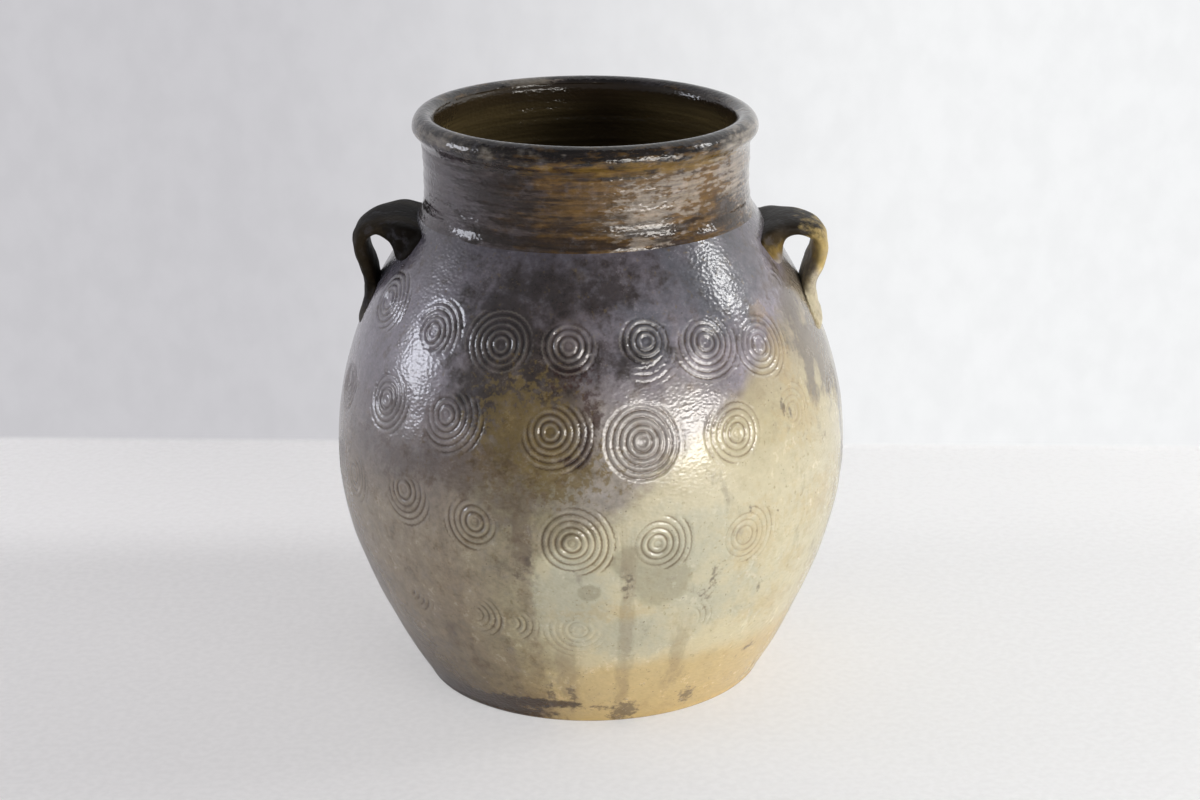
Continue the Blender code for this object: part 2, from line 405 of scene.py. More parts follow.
def onWall(azimuth, height, centreAzimuth, centreHeight):
    # how far a point of the wall lies to the right of a centre and above it, along the wall
    radius = 0.5 * (wallRadius(height) + wallRadius(centreHeight))
    return np.radians(turnFrom(azimuth, centreAzimuth)) * radius, arcAt(height) - arcAt(centreHeight)


def filled(row, defaults):  # a row of a table with the last values that it leaves out
    return (*row, *defaults[len(row):])


# Each stamp: azimuth, height, radius, strength, the side where it was pressed deepest (0 right, 90 up),
# how much of the radius is missing on the other side, and where they aren't everyWay and 0,
# half the angle that took a mark and the radius left unmarked
everyWay = 400
frontStamps = [
    (-68.5, 213, 23.5, 0.95, 10, 0.35), (-43.6, 208, 21.5, 1.0, 50, 0.52), (-22.6, 208, 22.6, 0.9, 135, 0.22),
    (-5.2, 209, 17.9, 1.0, -80, 0.2), (13.2, 208.5, 25.0, 0.85, -55, 0.2, 52, 11),
    (14.3, 210, 14.5, 1.05, 180, 0.08), (30.3, 206, 24.8, 1.0, -75, 0.4), (46.3, 198.5, 23.0, 0.75, -25, 0.25),
    (64.0, 220, 10.5, 0.3, 90, 0.3), (-53.8, 172, 21.5, 0.95, -40, 0.32), (-34.2, 173, 24.8, 0.9, -42, 0.5),
    (-8.9, 170.5, 26.4, 1.0, -42, 0.46), (11.2, 165, 22.9, 1.1, -45, 0.08), (34.0, 162, 20.9, 0.8, 165, 0.2),
    (52.0, 163, 19.0, 0.42, 50, 0.5), (-65.5, 125, 19.8, 0.6, -20, 0.5), (-44.3, 131, 22.6, 0.95, -70, 0.6),
    (-25.6, 123, 19.8, 0.95, -135, 0.36), (-4.4, 115.5, 25.5, 1.0, 8, 0.26), (13.9, 113, 21.5, 0.9, 0, 0.38),
    (34.8, 109, 22.6, 0.55, -10, 0.34), (-49.0, 74, 19.8, 0.9, -42, 0.1, 26, 4),
    (-29.0, 69, 18.7, 0.75, -15, 0.2, 75, 2), (-19.8, 67, 16.5, 0.7, -15, 0.2, 60, 3),
    (-3.6, 65, 24.2, 0.42, -115, 0.62), (22.0, 66, 16.5, 0.5, 15, 0.2, 50, 6),
]
backStamps = [
    (112, 209, 18.6, 0.9, 30, 0.35), (130.5, 205, 19.6, 0.95, -60, 0.45), (149, 208, 18.0, 0.9, 120, 0.25),
    (167, 206, 18.0, 0.85, 200, 0.4), (-113, 207, 19.1, 0.9, 60, 0.3), (-131, 210, 18.0, 0.95, 170, 0.45),
    (-149.5, 206, 19.1, 0.9, -70, 0.25), (-168, 209, 17.5, 0.8, -20, 0.4), (73.5, 160, 17.5, 0.45, 30, 0.5),
    (95, 165, 19.6, 0.6, -50, 0.35), (116, 168, 19.6, 0.85, -140, 0.3), (138, 163, 20.7, 0.95, 20, 0.45),
    (160, 169, 19.1, 0.9, 80, 0.3), (-76, 168, 18.6, 0.8, -60, 0.35), (-97.5, 165, 19.6, 0.85, 30, 0.35),
    (-119, 170, 20.1, 0.95, -30, 0.5), (-140, 164, 19.6, 0.9, 150, 0.25), (-162, 168, 19.1, 0.9, 220, 0.4),
    (84, 114, 18.6, 0.45, -30, 0.5), (106, 118, 19.1, 0.65, -90, 0.45), (129, 113, 19.6, 0.8, 40, 0.35),
    (152, 119, 19.6, 0.9, 180, 0.4), (-87, 121, 18.6, 0.75, -45, 0.55), (-109, 117, 19.6, 0.85, 10, 0.35),
    (-132, 122, 19.1, 0.9, -100, 0.45), (-155, 116, 19.6, 0.85, 60, 0.4), (-84, 72, 17.0, 0.4, -60, 0.3, 60, 4),
    (-118, 68, 18.0, 0.5, -20, 0.5), (-147, 71, 17.0, 0.45, -90, 0.3, 80, 2),
    (128, 69, 17.0, 0.45, 0, 0.5, 90, 0), (158, 66, 18.0, 0.5, -120, 0.4),
]
stamps = [filled(stamp, (0, 0, 0, 0, 0, 0, everyWay, 0)) for stamp in frontStamps + backStamps]
press = {
    "pitch": 3.3,                # mm from ring to ring of the stamp
    "ring": 0.46, "sink": 0.3,  # mm, how high the rings stand and how deep the whole mark lies
    "rock": 0.13,                # the stamp was rocked sideways, so a mark is this much lower than it is wide
    "oval": 0.018, "dent": 0.012,  # it was cut by hand, so its rings aren't quite round
    "edge": 1.6, "fadedEdge": 6,   # mm over which a mark ends, where it is deep and where it fades
    "fading": 0.25,              # the pressure lost towards the faded side
    "sideEdge": (18, 12),        # degrees over which the angle that took a mark ends
    "middleEdge": 1.2,           # mm over which the unmarked middle ends
    "evenness": 0.88, "slowBeat": 0.12, "quickBeat": 0.08,  # the pressure round a mark
    "phase": 0.02, "boss": 0.92, "bossDip": -0.25, "bossRise": (0.3, 0.8),  # the stamp's middle, in pitches
    "crest": 1.25,
    "wipe": 1.4,                 # a later mark wipes out an earlier one
    # the net of points under a mark: steps in a pitch and points round a ring in front and at the back,
    # mm from point to point, turn from ring to ring, and mm kept free of the plain net
    "frontSteps": 6, "backSteps": 5, "frontPoints": 42, "backPoints": 30, "fewestPoints": 8,
    "gap": 1.1, "shift": 0.5, "rim": 0.2, "slack": 0.6,
}


def stampRelief(azimuth, height):
    # the rings pressed in the clay, in mm along the wall's normal, and how strongly each place is marked
    relief = 0 * azimuth
    marked = 0 * azimuth
    for count, (centre, level, radius, strength, side, fade, spread, hollow) in enumerate(stamps):
        right, up = onWall(azimuth, height, centre, level)
        reach = np.hypot(right, up)
        near = reach < radius + 1
        right, up, reach = right[near], up[near], reach[near]
        turn = np.arctan2(up, right)
        reach = reach * (1 + press["oval"] * np.sin(2 * turn + 1.3) + press["dent"] * np.sin(3 * turn + 0.4 + count))
        off = turnFrom(np.degrees(turn), side)
        away = (1 - np.cos(np.radians(off))) / 2
        limit = radius * (1 - fade * away) * (1 - press["rock"] * np.sin(turn) ** 2)
        soft = press["edge"] + press["fadedEdge"] * fade * away
        push = strength * (1 - press["fading"] * fade * away) * (1 - smooth(limit - soft, limit, reach))
        push = push * (1 - smooth(spread - press["sideEdge"][0], spread + press["sideEdge"][1], np.abs(off)))
        if hollow:
            push = push * smooth(hollow - press["middleEdge"], hollow + press["middleEdge"], reach)
        push = push * (press["evenness"] + press["slowBeat"] * np.sin(2 * turn + 1.9 * count + 0.35 * reach)
                       + press["quickBeat"] * np.sin(5 * turn + count))
        pitches = reach / press["pitch"]
        wave = np.cos(math.tau * (pitches - press["phase"]))
        boss = np.maximum(wave * smooth(*press["bossRise"], pitches), press["bossDip"])
        wave = np.where(reach < press["boss"] * press["pitch"], boss, wave)
        ring = (0.5 + 0.5 * wave) ** press["crest"] * 2 - 1
        kept = 1 - np.clip(push * press["wipe"], 0, 1)
        relief[near] = relief[near] * kept + push * (press["ring"] * ring - press["sink"])
        marked[near] = np.maximum(marked[near] * kept, push)
    return relief, marked


def wallField(azimuth, height, patches):
    # each patch: azimuth, height, half width, half height, strength 1, and how square it is (2 is round)
    field = -1 + 0 * azimuth
    for patch in patches:
        centre, level, halfWidth, halfHeight, strength, square = filled(patch, (0, 0, 0, 0, 1, 2))
        right, up = onWall(azimuth, height, centre, level)
        reach = (np.abs(right / halfWidth) ** square + np.abs(up / halfHeight) ** square) ** (1 / square)
        field = np.maximum(field, np.clip((1 - reach) * strength, -1, 1))
    return field


# Where the flames kept the glaze pale: the left and right edges of the cream side, as (height, azimuth)
creamEdges = {
    "left": [(0, -9), (40, -10), (55, -13), (104, -14), (114, -4), (128, 5), (150, 14), (176, 33), (192, 47),
             (212, 62), (235, 84)],
    "right": [(0, 150), (60, 138), (110, 126), (160, 116), (190, 100), (235, 90)],
    "soft": 22,  # mm
}


def creamField(azimuth, height):
    edges = []
    for side, turn in (("left", 1), ("right", -1)):
        heights, places = zip(*creamEdges[side])
        edges.append(turn * (azimuth - np.interp(height, heights, places)))
    return np.clip(np.radians(np.minimum(*edges)) * wallRadius(height) / creamEdges["soft"], -1, 1)


wallPatches = {
    "flameFace": [(-13, 168, 33, 70, 1, 2.5), (-4, 60, 44, 90, 1, 2.5), (165, 140, 60, 120, 0.9, 2.5)],
    "paleGrey": [(10, 164, 20, 23, 0.9), (22, 176, 18, 14, 0.7), (1, 138, 18, 8, 0.5), (-128, 170, 40, 34, 0.6),
                 (-170, 175, 30, 30, 0.6)],
    "blueShoulder": [(38, 230, 30, 28, 1, 2.2), (16, 212, 22, 18, 0.4), (-100, 230, 40, 26, 0.8),
                     (125, 238, 30, 16, 0.7)],
    "darkShoulder": [(-24, 216, 28, 27), (-14, 232, 28, 14, 0.8), (7, 202, 13, 9, 0.6), (-27, 186, 15, 18, 0.9),
                     (-12, 196, 18, 12, 0.8), (5, 234, 20, 14, 0.9), (142, 222, 46, 22), (-152, 222, 40, 20, 0.9)],
    "ochreFoot": [(44, 4, 96, 43, 1, 7), (108, 4, 60, 30, 1, 4)],
    "blueGrey": [(-4, 84, 17, 26, 0.9), (10, 62, 20, 13, 0.9), (20, 104, 26, 22, 0.7), (30, 76, 26, 14, 0.45),
                 (-120, 90, 40, 30, 0.8), (150, 80, 35, 25, 0.8)],
    "roundGrey": [(15, 95, 16, 17), (8, 104, 10, 10, 0.9), (-1, 88, 6, 5), (140, 96, 18, 15)],
    "oliveGold": [(-15, 172, 20, 20), (-9, 152, 22, 12, 0.9), (-20, 158, 12, 12, 0.7), (122, 190, 26, 18, 0.8),
                  (-150, 150, 24, 20, 0.8)],
    "redBrown": [(-1.2, 164, 2.6, 10, 0.9, 3), (-3.8, 156.5, 5.0, 2.6, 0.8), (-0.6, 182, 1.8, 8, 0.4),
                 (1.4, 178, 2.2, 6, 0.4), (-4, 196, 6, 4, 0.3), (146, 168, 5, 16, 1, 3), (-126, 150, 4, 14, 0.8, 3)],
    "fumedBrown": [(-16, 137, 15, 9), (-15.5, 112, 5, 20, 0.7, 3), (-19, 100, 6, 5, 0.5), (-28, 150, 28, 12, 0.9),
                   (-46, 146, 30, 8, 0.6), (-20, 127, 12, 5, 0.5), (-56, 14, 20, 22, 0.55), (-70, 70, 12, 18, 0.5),
                   (-38, 52, 3, 9, 0.5), (128, 60, 10, 40, 0.7, 3), (-160, 90, 16, 40, 0.7, 3),
                   (-95, 60, 24, 36, 0.5)],
    "runs": [(-14.8, 78, 3.0, 44, 0.5, 5), (-7.2, 36, 5.4, 25, 0.9, 5), (7.6, 60, 3.6, 52, 0.8, 5),
             (21.5, 44, 4.2, 22, 0.6, 4), (-22, 40, 3, 26, 0.4, 4), (-33, 60, 3, 40, 0.35, 4),
             (131, 60, 5, 52, 0.8, 4), (-158, 52, 6, 44, 0.7, 4), (-104, 48, 5, 40, 0.6, 4)],
    "footBand": [(-35, 8, 20, 5.8, 1, 2.5), (-20, 12, 17, 4.2, 1, 3), (-10, 13, 9, 2.8, 1, 4),
                 (-27, 4, 22, 4, 0.8, 3), (-50, 8, 16, 6, 0.6), (150, 12, 26, 6, 1, 3), (-115, 10, 30, 6, 1, 3)],
    "darkSpots": [(-6.6, 19, 1.6, 8, 0.7, 3), (-12.6, 20, 1.5, 8, 0.8, 3), (9.2, 7, 6.0, 7.5, 1, 2.5),
                  (6.6, 2.5, 4, 2.5, 0.9), (7.4, 91, 1.8, 4, 0.4, 3), (27.5, 88, 1.3, 3.6, 0.3),
                  (25.8, 80, 1.5, 2.2, 0.3), (28.6, 93.5, 1.2, 1.8, 0.35), (29, 12, 3.2, 5, 0.6),
                  (47.5, 34, 4.4, 1.7, 0.8), (1.5, 10.5, 6.5, 1.4, 0.6), (-16.5, 97, 2.6, 1.5, 0.8),
                  (-14, 104, 2.2, 4, 0.5), (41.5, 76, 1.1, 3.4, 0.5), (36, 123, 1.0, 1.8, 0.8),
                  (44, 118, 0.9, 1.4, 0.8), (49, 167, 1.6, 3.2, 0.8), (51, 163, 1.2, 2.2, 0.7),
                  (64, 142, 3.2, 1.4, 0.6), (172, 40, 3, 26, 0.8, 3)],
    "mottledDark": [(73, 184, 25, 30), (66, 206, 18, 16, 0.8), (86, 168, 22, 34, 0.8), (112, 196, 26, 26, 0.8)],
    "goldStain": [(53, 191, 6.5, 18, 0.8), (50, 212, 6, 5, 0.8), (55, 160, 14, 12, 0.5), (38, 106, 12, 14, 0.5),
                  (60, 112, 20, 10, 0.4), (3, 76, 16, 4, 0.5), (46, 62, 14, 7, 0.6), (52, 84, 9, 6, 0.4),
                  (100, 110, 30, 20, 0.6)],
}


def keepWallFields(piece, azimuth, height):
    keepField(piece, "creamSide", creamField(azimuth, height))
    for name, patches in wallPatches.items():
        keepField(piece, name, wallField(azimuth, height, patches))


def wallOffset(azimuth, height):
    relief, marked = stampRelief(azimuth, height)
    swell = (ripple(azimuth, height, wall["swells"]) - wall["swellSink"]) * between(wall["swellBand"], height)
    return relief + swell, marked, relief


def netUnderStamp(count, centre, level, radius):
    # rings of close points, as azimuths and distances up the wall
    side = "front" if count < len(frontStamps) else "back"
    step = press["pitch"] / press[side + "Steps"]
    right, up = [0.0], [0.0]
    reach, turn = step, 0.0
    while reach < radius + press["rim"]:
        points = min(press[side + "Points"], round(math.tau * reach / press["gap"]))
        points = max(press["fewestPoints"], points)
        turn += press["shift"]
        for share in range(points):
            angle = math.tau * (share + turn) / points
            right.append(reach * math.cos(angle))
            up.append(reach * math.sin(angle))
        reach += step
    arcs = arcAt(level) + np.array(up)
    halfway = 0.5 * (wallRadius(heightAt(arcs)) + wallRadius(level))
    return centre + np.degrees(np.array(right) / halfway), arcs


def makeStampedSkin():
    # Bevels and bisects can't press rings this fine, so the outside skin is laid point by point: a plain net
    # of points, closer points under each stamp, and triangles between them on the wall unrolled flat.
    bottom, top = arcAt(wall["slabTop"]), arcAt(wall["shoulderHeight"])
    rows = round((top - bottom) / wall["rowStep"])
    net = np.meshgrid(np.linspace(-180, 180, wall["columns"] + 1), np.linspace(bottom, top, rows + 1))
    groups = [[values.ravel() for values in net]]
    groups += [netUnderStamp(count, *stamp[:3]) for count, stamp in enumerate(stamps)]
    azimuth, arcs = [], []
    for order, (ownAzimuth, ownArcs) in enumerate(groups):
        # points make room for the nets of later stamps, but not along the wall's edges and its seam
        free = np.ones(len(ownArcs), bool)
        for centre, level, radius, *rest in stamps[order:]:
            free &= np.hypot(*onWall(ownAzimuth, heightAt(ownArcs), centre, level)) > radius + press["slack"]
        ends = (ownArcs < bottom + wall["edge"]) | (ownArcs > top - wall["edge"])
        free |= ends | (np.abs(ownAzimuth) > 180 - wall["edge"])
        azimuth.append(ownAzimuth[free])
        arcs.append(ownArcs[free])
    flat = zip(np.concatenate(azimuth), np.concatenate(arcs))
    flat = [Vector((turn * wall["degree"], arc)) for turn, arc in flat]
    joined = delaunay_2d_cdt(flat, [], [], 0, wall["netGap"], False)
    flatPoints = np.array(joined[0])
    azimuth, height = flatPoints[:, 0] / wall["degree"], heightAt(flatPoints[:, 1])
    points = aroundAxis(azimuth, wallRadius(height), height) * mm
    skin = bpy.data.meshes.new("stampedWall")
    skin.from_pydata(points.tolist(), [], [list(face) for face in joined[2]])
    return addObject("stampedWall", skin)


def insideOutline():
    # from the shoulder's top edge over the seat, down the inside and out along the bottom
    top, bottom, bend = wall["shoulderHeight"], wall["slabTop"], wall["insideCorner"]
    heights = np.linspace(top, bottom, wall["insideSteps"])
    slope = np.gradient(wallRadius(heights), heights)
    thick = wall["footWall"] + (wall["shoulderWall"] - wall["footWall"]) * heights / top
    inner = wallRadius(heights) - thick * np.hypot(1, slope)
    lean = top - wall["seatSlope"]
    inner = np.where(heights > lean, inner[np.argmin(np.abs(heights - lean))] - (heights - lean), inner)
    outline = [(wall["shoulderRadius"], top), (wall["seatRadius"], top)]
    corner = bottom + bend
    for height in np.linspace(top - wall["seatEdge"], corner, wall["insideRows"]):
        outline.append((float(np.interp(-height, -heights, inner)), float(height)))
    start = outline[-1][0]
    for turn in (18, 36, 54, 72, 90):
        angle = math.radians(turn)
        outline.append((start - bend * (1 - math.cos(angle)), corner - bend * math.sin(angle)))
    outline.append((float(wallRadius(bottom)), bottom))
    return outline


def makeWall(material):
    skin = makeStampedSkin()
    lining = spin("wallLining", insideOutline(), wall["columns"], False)
    pickOnly(lining)
    skin.select_set(True)
    bpy.context.view_layer.objects.active = skin
    bpy.ops.object.join()
    mergeAndTurnOut(skin)
    points = readPoints(skin)
    azimuth, height = azimuthOf(points), points[:, 2]
    radius = radiusOf(points)
    outside = radius > wallRadius(height) - wall["skinDepth"]
    offset, marked, relief = wallOffset(azimuth, height)
    step = wall["slopeStep"]
    slope = (wallRadius(height + step) - wallRadius(height - step)) / (2 * step)
    tilt = np.hypot(1, slope)
    newRadius = np.where(outside, radius + offset / tilt, radius)
    newHeight = np.where(outside, height - offset * slope / tilt, height)
    deep = (~outside) & (height > wall["insideRingsFrom"]) & (height < wall["insideRingsTo"])
    newRadius = np.where(deep, newRadius + ripple(azimuth, height, wall["insideRings"]), newRadius)
    newRadius = np.minimum(newRadius, wall["widest"])
    placePoints(skin, aroundAxis(azimuth, newRadius, newHeight))
    keepField(skin, "inside", np.where(outside, 0, 1))
    # painted light through the mouth on the inside
    keepField(skin, "litInside", litInside(azimuth, height, wall["lights"]))
    ridge = np.clip((relief + press["sink"] * marked) / press["ring"], -1, 1)
    keepField(skin, "pool", np.where(outside, -ridge, 0))
    keepWallFields(skin, azimuth, height)
    finishPiece(skin, material, "body_wall")
    return skin


# colours by height on the three faces of the fired wall
shadyFace = [(0, "53422c"), (18, "7b694a"), (45, "928269"), (80, "a19178"), (112, "a69882"), (134, "988b7c"),
             (150, "908680"), (168, "8f8687"), (188, "928b92"), (215, "8f8891"), (236, "716b72"), (250, "57525a")]
flameFace = [(0, "a4875a"), (25, "ab986e"), (60, "aba07f"), (100, "9b9174"), (122, "938a6c"), (140, "8e8365"),
             (160, "7d6e50"), (188, "6b5e4e"), (214, "5a5050"), (236, "352e2b"), (250, "2f2a29")]
creamFace = [(0, "ceb67f"), (50, "d2c8a5"), (90, "cdc5a5"), (130, "c8c0a2"), (165, "bcb18f"), (190, "ab9f84"),
             (212, "857b6e"), (250, "6c676d")]
# each layer, from the lowest up: its field, then colour or colours by height, softness of its edge,
# mm across the fraying, how ragged, strength, and the fraying's stretch
wallLayers = {
    "flameFace": (flameFace, 0.6, 26, 0.4, 1.0),
    "paleGrey": ("9f9993", 0.7, 12, 0.6, 0.85),
    "blueShoulder": ("52545b", 0.5, 18, 0.7, 0.85),
    "darkShoulder": ("2f2724", 0.6, 8, 1.0, 0.85),
    "creamSide": (creamFace, 0.55, 20, 0.6, 1.0),
    "blueGrey": ("b3b29f", 0.5, 12, 0.9, 0.7),
    "roundGrey": ("989279", 0.14, 14, 0.25, 0.6),
    "ochreFoot": ("ceb57f", 0.16, 22, 0.2, 0.8),
    "oliveGold": ("76643a", 0.4, 3.2, 2.2, 0.75),
    "redBrown": ("37190d", 0.35, 3.5, 1.1, 0.75),
    "fumedBrown": ("5a4a3e", 0.55, 6, 1.2, 0.55),
    "runs": ("77644e", 0.35, 4, 0.6, 0.34, (1, 1, 0.15)),
    "mottledDark": ("665c54", 0.45, 15, 2.0, 0.75, (1, 1, 0.6)),
    "goldStain": ("b3914f", 0.45, 5, 1.1, 0.24),
    "footBand": ("433020", 0.22, 4, 0.55, 0.9),
    "darkSpots": ("55473b", 0.4, 2.8, 1.2, 0.7),
}
# the inside's colours: dark, plain, and the pale of the painted light through the mouth
bodyInside = ("2f271d", "493c2b", "6b5e3c")
wallGlaze = makeSaltGlaze("wall", shadyFace, wallLayers, bodyInside, "creamSide", pool=True)
stampedWall = makeWall(wallGlaze)
print("stamped wall:", sum(len(face.vertices) - 2 for face in stampedWall.data.polygons), "triangles")


# The floor slab under the wall
slab = {
    "roundEdge": 2.2, "insideRadius": 82.0, "steps": 240,
    "swell": 0.05, "clear": 0.02,  # mm, the middle is higher and the rim clear of the wall's face
    "topRings": (0, 30, 60), "sideHeights": (9, 7, 5), "bottomRings": (70, 45, 20, 0),
    "layers": ("flameFace", "creamSide", "ochreFoot", "runs", "footBand", "darkSpots"),
    "insideFrom": 0.1, "insideTo": 90,
}


def makeSlab(material):
    top, edge = wall["slabTop"], slab["roundEdge"]
    outline = [(radius, top + slab["swell"]) for radius in slab["topRings"]]
    outline += [(slab["insideRadius"], top), (float(wallRadius(top)) - slab["clear"], top)]
    for height in (*slab["sideHeights"], edge):
        outline.append((float(wallRadius(height)), height))
    start = float(wallRadius(edge)) - edge
    for turn in (22, 45, 68, 90):
        angle = math.radians(turn)
        outline.append((start + edge * math.cos(angle), edge * (1 - math.sin(angle))))
    outline += [(radius, 0) for radius in slab["bottomRings"]]
    piece = spin("floorSlab", outline, slab["steps"], False)
    points = readPoints(piece)
    inside = radiusOf(points) < slab["insideTo"]
    keepField(piece, "inside", inside & (points[:, 2] > top - slab["insideFrom"]))
    keepWallFields(piece, azimuthOf(points), points[:, 2])
    finishPiece(piece, material, "floor_slab")
    return piece


slabLayers = {field: wallLayers[field] for field in slab["layers"]}
footGlaze = makeSaltGlaze("foot", shadyFace, slabLayers, bodyInside, "creamSide")
floorSlab = makeSlab(footGlaze)
print("floor slab:", len(floorSlab.data.polygons), "faces")


# The neck and its rolled rim
neck = {
    "height": 50.0, "step": 0.4, "waist": 1.7, "flare": 0.9, "wall": 6.6,
    "overhang": 4.7, "crown": 7.0, "underside": 8.5, "dip": 2.5, "footPower": 5,
    "joint": 0.3, "steps": 288,
    # the lower edge, smeared over the shoulder, as (radius, height), and the inside end of its underside
    "edge": [(83.0, 247.6), (86.45, 247.95), (86.0, 248.75), (85.2, 250.2), (84.75, 251.4)],
    "seat": (78.0, 247.6),
    "outsideFrom": 252.6, "outsideStep": 1.0, "rollSteps": 14, "crownSteps": 30,
    "insideStep": 1.5, "insideTo": 251, "insideEnd": 250.2,
    "skinDepth": 2.5,
    # fine rings left by the thrower's fingers, kept off the edge and the roll
    "rings": [(1, 3.1, 0.5, 0.055), (1, 4.7, 2.1, 0.06), (2, 2.2, 4.0, 0.035), (0, 9.5, 1.0, 0.08),
              (3, 19, 0.2, 0.1)],
    "insideRings": [(1, 5.2, 0.3, 0.14), (2, 8.5, 2.0, 0.12)],
    "ringBand": (252, 256, 286, 291), "insideRingBand": (252, 256, 284, 290),
    "front": (-35, -12, 45, 75),  # degrees
    # two lines cut under the roll, clear in front and gone at the left: (height, depth)
    "cuts": [(287.6, 0.42), (284.9, 0.34)], "cutWidth": 0.75, "cutWaver": 0.3, "cutLeast": 0.25,
    # the lower edge stands proud of the shoulder in front, and is wiped to a hollow elsewhere
    "lip": 0.9, "lipBeat": 0.35, "wiped": 0.12, "wipes": [(5, 30, 0.4, 1), (13, 22, 1.4, 0.6)],
    "edgeBand": (248.2, 249.2, 251.5, 256),
    # the roll was squeezed by fingers, so it swells and rises a little here and there
    "squeezes": [(3, 1, 0.4, 0.22), (5, 1, 2.0, 0.14), (9, 1, 1.1, 0.08)], "squeezeSink": 0.4,
    "rises": [(2, 1, 0.9, 0.14), (4, 1, 3.0, 0.1)], "riseSink": 0.2,
    "rollFrom": (288, 293), "rollDepth": 1, "mostDip": 1.02,
    "inward": (2.8, 0.6), "inwardTo": (296, 299),
    # painted light on the neck's inside, falling through the mouth
    "lights": [(1, -98, 110, 30, 0.85, 281, 292), (0.8, 128, 48, 15, 1, 284, 295)],
}
waistRadius = wall["shoulderRadius"] - neck["step"] - neck["waist"]
mouthRadius = waistRadius - neck["wall"]
rimHeight = wall["shoulderHeight"] + neck["height"]
neckFoot = wall["shoulderHeight"] + neck["joint"]
neckTop = rimHeight - neck["crown"] - neck["underside"]


def neckRadius(height):
    share = np.clip((height - neckFoot) / (neckTop - neckFoot), 0, 1)
    radius = waistRadius + neck["waist"] * (1 - share) ** neck["footPower"] + neck["flare"] * share ** 2
    roll = np.clip((height - neckTop) / neck["underside"], 0, 1)
    return radius + neck["overhang"] * (1 - np.cos(math.pi * roll)) / 2


def neckOutline():
    outline = list(neck["edge"])
    outside = (np.arange(neck["outsideFrom"], neckTop, neck["outsideStep"]),
               np.linspace(neckTop, neckTop + neck["underside"], neck["rollSteps"]))
    for height in np.concatenate(outside):
        outline.append((float(neckRadius(height)), float(height)))
    halfWidth = (neck["wall"] + neck["flare"] + neck["overhang"]) / 2
    widest = rimHeight - neck["crown"]
    for turn in np.linspace(0, 180, neck["crownSteps"] + 1)[1:]:
        angle = math.radians(turn)
        outline.append((mouthRadius + halfWidth * (1 + math.cos(angle)), widest + neck["crown"] * math.sin(angle)))
    for height in np.arange(widest - neck["insideStep"], neck["insideTo"], -neck["insideStep"]):
        outline.append((mouthRadius, float(height)))
    return outline + [(mouthRadius, neck["insideEnd"]), neck["seat"]]


# half widths here are degrees round the neck, half heights mm
neckPatches = {
    "neckViolet": [(-72, 266, 46, 24, 1), (150, 265, 50, 24, 0.8)],
    "neckOchre": [(9, 268, 27, 22, 1), (44, 266, 16, 22, 1), (-130, 270, 30, 20, 0.8), (110, 268, 26, 20, 0.8)],
    # pale glaze and painted highlights on the neck
    "neckPaleGlazeAndHighlight": [(20, 262, 10, 15, 0.9), (33, 275, 9, 10, 0.6), (66, 280, 14, 14, 0.9), (82, 270, 10, 16, 0.7),
                 (-175, 275, 16, 12, 0.8)],
    "rimGold": [(38, 288.5, 26, 3.4, 1), (6, 288.8, 18, 2.2, 0.35), (-150, 289, 40, 2.6, 0.7)],
    "neckDark": [(54, 258, 8, 8, 1), (50, 254, 3, 5, 1), (-30, 276, 16, 16, 0.8), (-38, 254, 7, 5, 0.8),
                 (25, 256, 14, 4, 0.5), (-12, 252, 34, 3.4, 1), (-20, 262, 22, 5, 0.5), (140, 256, 20, 6, 0.8),
                 (-90, 255, 16, 5, 0.7)],
    # pale glaze and painted sheen on the rim
    "rimPaleAndSheen": [(84, 293, 34, 8, 0.9), (-158, 299, 9, 5, 1), (-75, 295, 30, 3, 0.4)],
}


def neckField(azimuth, height, patches):
    # each patch: azimuth, height, half width, half height, strength
    field = -1 + 0 * azimuth
    for centre, level, halfWidth, halfHeight, strength in patches:
        reach = np.hypot(turnFrom(azimuth, centre) / halfWidth, (height - level) / halfHeight)
        field = np.maximum(field, np.clip((1 - reach) * strength, -1, 1))
    return field


def makeNeck(material):
    piece = spin("neckAndRim", neckOutline(), neck["steps"], True)
    points = readPoints(piece)
    azimuth, height = azimuthOf(points), points[:, 2]
    radius = radiusOf(points)
    outside = radius > mouthRadius + neck["skinDepth"]
    front = between(neck["front"], azimuth)
    rings = ripple(azimuth, height, neck["rings"]) * between(neck["ringBand"], height)
    insideRings = ripple(azimuth, height, neck["insideRings"]) * between(neck["insideRingBand"], height)
    offset = np.where(outside, rings, insideRings)
    waver = neck["cutWaver"] * np.sin(np.radians(azimuth * 3))
    clear = neck["cutLeast"] + (1 - neck["cutLeast"]) * front
    for level, depth in neck["cuts"]:
        cut = depth * clear * np.exp(-((height - level - waver) / neck["cutWidth"]) ** 2)
        offset = offset - np.where(outside, cut, 0)
    lip = front * (1 - neck["lipBeat"] + neck["lipBeat"] * np.sin(np.radians(azimuth * 9)))
    edge = np.where(outside, between(neck["edgeBand"], height), 0)
    offset = offset + edge * (neck["lip"] * lip + neck["wiped"] * ripple(azimuth, height, neck["wipes"]))
    roll = np.where(radius > mouthRadius + neck["rollDepth"], smooth(*neck["rollFrom"], height), 0)
    squeeze = ripple(azimuth, 0 * height, neck["squeezes"]) - neck["squeezeSink"]
    rise = ripple(azimuth, 0 * height, neck["rises"]) - neck["riseSink"]
    # the rim dips to the right
    sag = np.clip((height - neckFoot) / neck["height"], 0, neck["mostDip"]) * neck["dip"] / 2
    newHeight = height - sag * points[:, 0] / waistRadius + roll * rise
    placePoints(piece, aroundAxis(azimuth, radius + offset + squeeze * roll, newHeight))

    start, end = neck["inward"]
    inward = smooth(mouthRadius + start, mouthRadius + end, radius)
    keepField(piece, "inside", inward * (1 - smooth(*neck["inwardTo"], height)))
    # painted light through the mouth on the inside
    keepField(piece, "litInside", litInside(azimuth, height, neck["lights"]))
    for name, patches in neckPatches.items():
        keepField(piece, name, neckField(azimuth, height, patches))
    finishPiece(piece, material, "neck_collar")
    return piece


